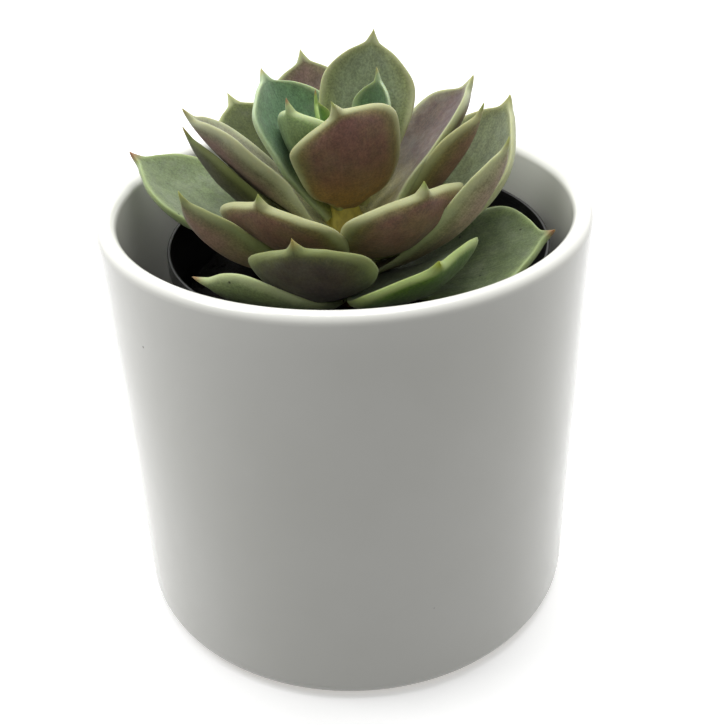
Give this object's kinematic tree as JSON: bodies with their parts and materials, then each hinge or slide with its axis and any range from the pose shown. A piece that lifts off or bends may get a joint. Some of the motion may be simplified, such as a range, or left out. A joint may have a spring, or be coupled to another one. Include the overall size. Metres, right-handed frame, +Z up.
{
  "type": "potted succulent",
  "caption": "Echeveria-type succulent rosette growing in a black plastic nursery liner, set inside a straight white glazed ceramic cylinder pot for indoor display.",
  "frame": {"origin": "centre of the pot's foot, on the surface the pot stands on", "axes": "+Z up along the pot's axis; +X to the rosette's right and -Y to its front, as it was seen"},
  "size_m": [0.1, 0.1, 0.1231],
  "materials": {
    "white_glaze": "gloss",
    "black_plastic": "satin",
    "potting_mix": "matte",
    "stem": "matte",
    "leaf_green": "satin",
    "leaf_sage": "satin",
    "leaf_blush": "satin"
  },
  "bodies": {
    "root": {"ceramic_pot": "white_glaze", "nursery_liner": "black_plastic", "potting_mix": "potting_mix", "stem": "stem", "leaf_01": "leaf_green", "leaf_02": "leaf_green", "leaf_03": "leaf_sage", "leaf_04": "leaf_green", "leaf_05": "leaf_sage", "leaf_06": "leaf_blush", "leaf_07": "leaf_sage", "leaf_08": "leaf_blush", "leaf_09": "leaf_blush", "leaf_10": "leaf_blush", "leaf_11": "leaf_blush", "leaf_12": "leaf_blush", "leaf_13": "leaf_blush", "leaf_14": "leaf_blush", "leaf_15": "leaf_sage", "leaf_16": "leaf_blush", "leaf_17": "leaf_blush", "leaf_18": "leaf_sage", "leaf_19": "leaf_blush", "leaf_20": "leaf_green", "leaf_21": "leaf_sage", "leaf_22": "leaf_sage", "leaf_23": "leaf_sage", "leaf_24": "leaf_sage", "leaf_25": "leaf_sage", "leaf_26": "leaf_sage", "leaf_27": "leaf_sage", "leaf_28": "leaf_sage"}
  },
  "joints": []
}
